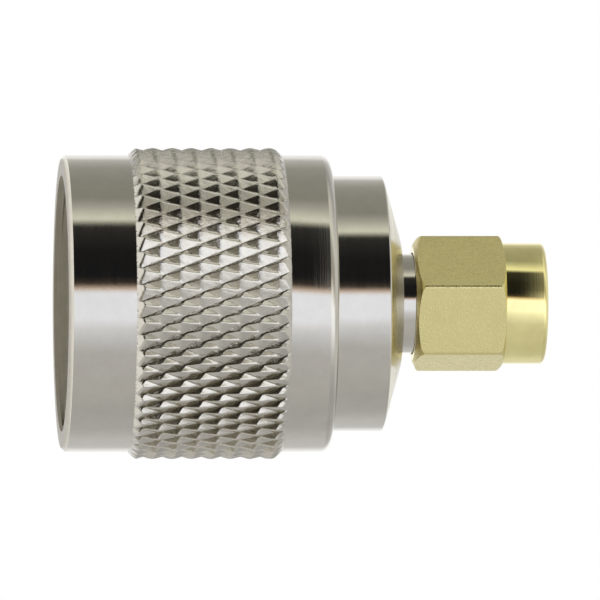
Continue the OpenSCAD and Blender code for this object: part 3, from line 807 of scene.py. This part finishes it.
class ADAPTER_OT_sma_inside(bpy.types.Operator):
    """Makes the SMA gasket, outer contact, insulator and centre pin"""
    bl_idname = "adapter.sma_inside"
    bl_label = "SMA contacts"

    def execute(self, context):
        inside, body = context.scene.adapter.inside, context.scene.adapter.body
        gasket = tube("sma_gasket_ring", inside.sma_contact_r + CLEAR, inside.sma_gasket_r,
                      body.seat_z, body.seat_z + inside.sma_gasket_t, 0.08 * MM)
        give(gasket, "silicone_seal", "silicone", "adapter_body", "sma_gasket")
        bore_r, stem_r = body.through_r + CLEAR, body.sma_stem_r - CLEAR
        lip = (inside.sma_contact_r - bore_r) / 3
        contact = turn("sma_contact_turned", [
            (bore_r, body.sma_stem_z), (stem_r, body.sma_stem_z), (stem_r, body.seat_z),
            (inside.sma_contact_r, body.seat_z),
            (inside.sma_contact_r, inside.sma_plane_z - lip),
            (inside.sma_contact_r - lip, inside.sma_plane_z), (bore_r, inside.sma_plane_z)],
            edge=0.015 * MM)
        give(contact, "gold_contact_turned", "gold_contact", "adapter_body",
             "sma_outer_contact")
        insulator = tube("sma_insulator_turned", inside.sma_conductor_r + CLEAR,
                         body.through_r - CLEAR, inside.insulator_z0, inside.insulator_z1,
                         0.03 * MM)
        give(insulator, "ptfe_turned", "ptfe", "adapter_body", "sma_insulator")
        give(self.centre_pin(inside, body), "gold_contact_turned", "gold_contact",
             "adapter_body", "sma_centre_pin")
        return {"FINISHED"}

    def centre_pin(self, inside, body):
        """A pin with a tapered tip, on the conductor that runs through the insulator."""
        r, tip = inside.sma_pin_r, inside.sma_tip_z
        tip_r, soft = PIN_TIP * r, PIN_ROUND * r
        flange_z1 = inside.insulator_z0
        return turn("sma_pin_turned", [
            (r - BREAK, inside.stud_z), (r, inside.stud_z + BREAK), (r, body.stem_z),
            (inside.sma_flange_r, body.stem_z), (inside.sma_flange_r, flange_z1),
            (inside.sma_conductor_r, flange_z1), (inside.sma_conductor_r, inside.insulator_z1),
            (r, inside.insulator_z1), (r, tip - PIN_TAPER * r),
            *ring(0, pi / 2 - PIN_FLAT, (tip_r - soft, tip - soft), soft, 6)],
            closed=False, edge=0.015 * MM)


class ADAPTER_OT_snap_rings(bpy.types.Operator):
    """Finishes the two snap rings"""
    bl_idname = "adapter.snap_rings"
    bl_label = "Snap rings"

    def execute(self, context):
        for node in ("n_snap_ring", "sma_snap_ring"):
            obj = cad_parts[node]
            obj.data.materials.clear()
            obj.data.materials.append(bpy.data.materials["bronze_spring"])
        return {"FINISHED"}


class ADAPTER_OT_finishes(bpy.types.Operator):
    """Makes the materials"""
    bl_idname = "adapter.finishes"
    bl_label = "Finishes"

    def execute(self, context):
        tone = context.scene.adapter.finishes
        plated("nickel_turned", tone.nickel, 0.08, lines=1.6e-6, grain=0.8e-6, spots=0.03)
        plated("nickel_knurled", tone.nickel, 0.12, grain=14e-6, grain_scale=7500)
        # nickel darkened to two thirds and turned a little towards gold: painted shade of the bore
        # and thread inside the N mouth; the high roughness is the dull unpolished plate
        plated("nickel_inside_painted_shade", shade_to(shade(tone.nickel, 0.66), tone.gold, 0.15), 0.45,
               lines=2e-6, grain=2e-6)
        # nickel turned towards gold: a painted reflection of the gold SMA nut in the cone; the
        # roughness is a satin finish
        plated("nickel_satin_painted_reflection", shade_to(tone.nickel, tone.gold, 0.3), 0.22, lines=1e-6, grain=3e-6)
        plated("bronze_plated", tone.bronze_plate, 0.12, lines=0.8e-6)
        # one gold plate in two copies: darker on the hexagon's flats, a painted shade, and lighter
        # on the turned faces and thread, a painted highlight; the roughness and grain are the
        # finishes' own
        plated("gold_satin_painted_shade", shade(tone.gold, 0.92), 0.30, grain=12e-6, grain_scale=9500,
               spots=0.025)
        plated("gold_turned_painted_highlight", shade(tone.gold, 1.1), 0.06, lines=0.8e-6, grain=0.5e-6)
        plated("gold_contact_turned", tone.contact_gold, 0.14, lines=0.6e-6)
        plated("bronze_spring", tone.bronze, 0.25, lines=1e-6)
        moulded("ptfe_turned", tone.ptfe, 0.45, 2e-6)
        moulded("silicone_seal", tone.silicone, 0.5, 3e-6)
        return {"FINISHED"}


# ---- stage


class ADAPTER_OT_stage(bpy.types.Operator):
    """Sets the floor, the studio light and the camera"""
    bl_idname = "adapter.stage"
    bl_label = "Stage"

    def execute(self, context):
        stage = context.scene.adapter.stage
        self.camera(context, stage)
        self.studio(context)
        self.floor(stage)
        self.lamp()
        context.scene.view_settings.view_transform = "Standard"
        return {"FINISHED"}

    def camera(self, context, stage):
        """A long lens, level with the axis, which runs from left to right."""
        put_down()
        bpy.ops.object.camera_add()
        camera = bpy.context.object
        camera.name = "camera"
        camera.data.lens = stage.lens
        camera.data.sensor_width = 36
        camera.data.clip_start = 0.05
        camera.data.clip_end = 10
        middle = Vector(AIM) * MM
        back = Vector((0, -cos(stage.yaw), -sin(stage.yaw)))
        right = Vector((0, -sin(stage.yaw), cos(stage.yaw)))
        up = Vector((-1, 0, 0))
        rotation = Matrix((right, up, back)).transposed().to_4x4()
        camera.matrix_world = Matrix.Translation(middle + back * stage.distance) @ rotation
        context.scene.camera = camera

    def studio(self, context):
        """The light round the object: bright and dark zones that run along its axis."""
        world = bpy.data.worlds.new("studio")
        world.use_nodes = True
        context.scene.world = world
        tree = world.node_tree
        tree.nodes.clear()
        direction = tree.nodes.new("ShaderNodeTexCoord").outputs["Generated"]
        x, y, z = add_node(tree, "ShaderNodeSeparateXYZ", {0: direction}).outputs
        azimuth = combined(tree, "ARCTAN2", combined(tree, "MULTIPLY", x, -1),
                           combined(tree, "MULTIPLY", y, -1))
        lean = combined(tree, "MULTIPLY", combined(tree, "ARCSINE", z), SLANT)
        turned = combined(tree, "MULTIPLY", combined(tree, "ADD", azimuth, lean), 1 / (2 * pi))
        place = combined(tree, "FRACT", combined(tree, "ADD", turned, 0.5))

        def zones(stops):
            ramp = add_node(tree, "ShaderNodeValToRGB", {"Fac": place})
            self.fill_ramp(ramp.color_ramp, stops)
            scaled = tree.nodes.new("ShaderNodeVectorMath")
            scaled.operation = "SCALE"
            fill(tree, scaled, {0: ramp.outputs["Color"], "Scale": BRIGHTEST})
            return scaled.outputs[0]

        def blend(source, low, high, under, over):
            node = tree.nodes.new("ShaderNodeMix")
            node.data_type = "RGBA"
            fill(tree, node, {
                "Factor": eased(tree, source, low, high), "A": under, "B": over})
            return node.outputs["Result"]

        down = combined(tree, "MULTIPLY", z, -1)
        light = blend(z, 0.14, 0.32, zones(STUDIO), zones(STUDIO_ABOVE))
        light = blend(down, 0.0, 0.2, light, zones(STUDIO_BELOW))
        light = blend(z, 0.7, 0.95, light, SMA_END)
        light = blend(down, 0.9, 0.98, light, N_END)
        lit = add_node(tree, "ShaderNodeBackground", {"Color": light})
        white = add_node(tree, "ShaderNodeBackground", {"Color": (1, 1, 1, 1)})
        path = tree.nodes.new("ShaderNodeLightPath").outputs
        mirrored = combined(tree, "MULTIPLY", path["Is Glossy Ray"],
                            eased(tree, y, *OPEN_BACK))
        seen = combined(tree, "MAXIMUM", path["Is Camera Ray"], mirrored)
        seen = combined(tree, "MAXIMUM", seen, path["Is Transmission Ray"])
        mix = add_node(tree, "ShaderNodeMixShader", {
            "Fac": seen, 1: lit.outputs[0], 2: white.outputs[0]})
        add_node(tree, "ShaderNodeOutputWorld", {"Surface": mix.outputs[0]})

    def fill_ramp(self, ramp, stops):
        """Sets a ramp from (degrees, colour) stops over a full turn."""
        while len(ramp.elements) > 1:
            ramp.elements.remove(ramp.elements[-1])
        for i, (degrees, value) in enumerate(stops):
            place = (degrees + 180) / 360
            element = ramp.elements[0] if i == 0 else ramp.elements.new(place)
            element.position = place
            element.color = (*(c / BRIGHTEST for c in value), 1)

    def floor(self, stage):
        """A pale floor that keeps the shadow. It can't be seen from below, nor in the metal
        away from the object."""
        put_down()
        bpy.ops.mesh.primitive_plane_add(size=stage.floor_size, location=(0, 0, -FLOOR_DROP))
        floor = bpy.context.object
        floor.name = "floor"
        tree, shader = new_material("floor_paper")
        shader.inputs["Roughness"].default_value = 0.9
        shader.inputs["Specular IOR Level"].default_value = 0.0
        paper = pattern(tree, 400, detail=3)
        tree.links.new(tinted(tree, paper, shade(stage.floor, 0.99), stage.floor),
                       shader.inputs["Base Color"])
        path = tree.nodes.new("ShaderNodeLightPath").outputs
        mirrored = combined(tree, "MAXIMUM", path["Is Glossy Ray"], path["Is Transmission Ray"])
        shown = combined(tree, "MAXIMUM", path["Is Camera Ray"], mirrored)
        glow = add_node(tree, "ShaderNodeEmission", {
            "Color": (1, 1, 1, 1), "Strength": combined(tree, "MULTIPLY", shown, FLOOR_GLOW)})
        pale = add_node(tree, "ShaderNodeAddShader", {0: shader.outputs[0], 1: glow.outputs[0]})
        away = tree.nodes.new("ShaderNodeVectorMath")
        away.operation = "LENGTH"
        fill(tree, away, {0: tree.nodes.new("ShaderNodeTexCoord").outputs["Object"]})
        fade = eased(tree, away.outputs["Value"], FLOOR_FADE[0] * MM, FLOOR_FADE[1] * MM)
        unseen = combined(tree, "MULTIPLY", fade, path["Is Glossy Ray"])
        below = tree.nodes.new("ShaderNodeNewGeometry").outputs["Backfacing"]
        clear = tree.nodes.new("ShaderNodeBsdfTransparent")
        mix = add_node(tree, "ShaderNodeMixShader", {
            "Fac": combined(tree, "MAXIMUM", unseen, below), 1: pale.outputs[0],
            2: clear.outputs[0]})
        tree.links.new(mix.outputs[0], tree.nodes["Material Output"].inputs["Surface"])
        floor.data.materials.append(bpy.data.materials["floor_paper"])

    def lamp(self):
        """One soft lamp above, for the shadow. The metal reflects the studio instead."""
        put_down()
        bpy.ops.object.light_add(type="AREA", location=(-0.12, -0.16, 0.30))
        lamp = bpy.context.object
        lamp.name = "soft_lamp"
        lamp.data.shape = "DISK"
        lamp.data.size = 0.16
        lamp.data.energy = 0.35
        lamp.visible_glossy = False
        lamp.rotation_euler = (-lamp.location).to_track_quat("-Z", "Y").to_euler()


AIM = (-0.23, 0, 15.63)    # what the camera looks at, in millimetres
FLOOR_DROP = 0.02 * MM     # keeps the floor off the nut's mouth, which stands on it
FLOOR_GLOW = 0.32          # brings the floor up to the white background
FLOOR_FADE = (11, 15)      # past this distance in millimetres the metal doesn't see the floor
SLANT = 0.35               # how much the light's zones lean along the axis
OPEN_BACK = (0.86, 0.96)   # behind the object the metal sees the white background
SMA_END = (0.74, 0.74, 0.73, 1)    # the light along the axis, from the SMA end
N_END = (1.45, 1.45, 1.45, 1)      # and from the N end
BRIGHTEST = 2.0            # a ramp holds colours up to 1, so its stops are shares of this
WHITE = (1.13, 1.18, 1.33)
STUDIO = [           # degrees round the axis from the camera, and the light there
    (-180, (0.74, 0.74, 0.75)), (-130, (0.70, 0.705, 0.72)), (-112, (0.57, 0.575, 0.59)),
    (-90, (0.54, 0.54, 0.54)), (-70, (0.59, 0.59, 0.585)), (-38, (0.62, 0.62, 0.63)),
    (-28, (0.74, 0.76, 0.81)), (-19, (0.90, 0.92, 0.99)), (-11, WHITE), (9.5, WHITE),
    (12.5, (0.80, 0.62, 0.50)), (16, (0.05, 0.04, 0.03)), (22, (0.012, 0.012, 0.014)),
    (42, (0.014, 0.014, 0.014)), (64, (0.035, 0.035, 0.033)), (67, (0.40, 0.40, 0.34)),
    (70, (0.92, 0.93, 0.80)), (74, (0.80, 0.80, 0.70)), (82, (0.52, 0.52, 0.47)),
    (91, (0.33, 0.33, 0.295)), (112, (0.35, 0.35, 0.32)), (132, (0.41, 0.41, 0.38)),
    (150, (0.62, 0.62, 0.60)), (160, (1.0, 1.0, 1.0)), (180, (0.74, 0.74, 0.75))]
STUDIO_ABOVE = [     # the same, towards the SMA end
    (-180, (0.74, 0.74, 0.75)), (-130, (0.56, 0.56, 0.57)), (-105, (0.50, 0.50, 0.50)),
    (-68, (0.50, 0.50, 0.50)), (-48, (0.58, 0.58, 0.58)), (-38, (0.70, 0.70, 0.71)),
    (-28, (0.88, 0.89, 0.92)), (-18, (1.08, 1.10, 1.16)), (-8, (1.30, 1.34, 1.44)),
    (6, (1.36, 1.40, 1.48)), (14, (1.15, 1.15, 1.15)), (22, (0.90, 0.88, 0.82)),
    (30, (0.50, 0.48, 0.42)), (42, (0.46, 0.45, 0.40)), (53, (0.52, 0.52, 0.47)),
    (63, (0.66, 0.66, 0.60)), (72, (0.90, 0.90, 0.82)), (84, (0.85, 0.84, 0.78)),
    (100, (0.75, 0.74, 0.70)), (132, (0.45, 0.45, 0.45)), (150, (0.62, 0.62, 0.63)),
    (180, (0.74, 0.74, 0.75))]
STUDIO_BELOW = [     # the same, towards the N end
    (-180, (0.74, 0.74, 0.75)), (-130, (0.70, 0.705, 0.72)), (-112, (0.60, 0.60, 0.61)),
    (-90, (0.62, 0.62, 0.62)), (-62, (0.74, 0.73, 0.70)), (-50, (0.60, 0.58, 0.53)),
    (-38, (0.39, 0.37, 0.31)), (-22, (0.24, 0.225, 0.18)), (-8, (0.13, 0.12, 0.09)),
    (5, (0.06, 0.05, 0.035)), (20, (0.022, 0.018, 0.014)), (38, (0.04, 0.036, 0.03)),
    (52, (0.10, 0.095, 0.08)), (60, (0.20, 0.20, 0.17)), (69, (0.52, 0.52, 0.47)),
    (80, (0.72, 0.72, 0.67)), (100, (0.66, 0.66, 0.61)), (132, (0.41, 0.41, 0.41)),
    (150, (0.62, 0.62, 0.63)), (180, (0.74, 0.74, 0.75))]


class ADAPTER_PT_panel(bpy.types.Panel):
    """Lists the steps that make the adapter"""
    bl_label = "Adapter"
    bl_idname = "ADAPTER_PT_panel"
    bl_space_type = "VIEW_3D"
    bl_region_type = "UI"
    bl_category = "Adapter"

    def draw(self, context):
        for step in STEPS:
            self.layout.operator(step.bl_idname)


SETTINGS = (NutSizes, KnurlSizes, BodySizes, SmaNutSizes, InsideSizes, Finishes, StageSizes,
            AdapterSettings)
STEPS = (ADAPTER_OT_stage, ADAPTER_OT_finishes, ADAPTER_OT_n_nut, ADAPTER_OT_knurl,
         ADAPTER_OT_threads, ADAPTER_OT_body, ADAPTER_OT_n_inside, ADAPTER_OT_sma_nut,
         ADAPTER_OT_sma_inside, ADAPTER_OT_snap_rings)


def register():
    for cls in SETTINGS + STEPS + (ADAPTER_PT_panel,):
        bpy.utils.register_class(cls)
    bpy.types.Scene.adapter = bpy.props.PointerProperty(type=AdapterSettings)


def unregister():
    del bpy.types.Scene.adapter
    for cls in reversed(SETTINGS + STEPS + (ADAPTER_PT_panel,)):
        bpy.utils.unregister_class(cls)


def main():
    register()
    bpy.ops.adapter.stage()
    bpy.ops.adapter.finishes()
    bpy.ops.adapter.n_nut()
    bpy.ops.adapter.knurl()
    bpy.ops.adapter.threads()
    bpy.ops.adapter.body()
    bpy.ops.adapter.n_inside()
    bpy.ops.adapter.sma_nut()
    bpy.ops.adapter.sma_inside()
    bpy.ops.adapter.snap_rings()
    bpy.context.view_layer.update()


if __name__ == "__main__":
    main()
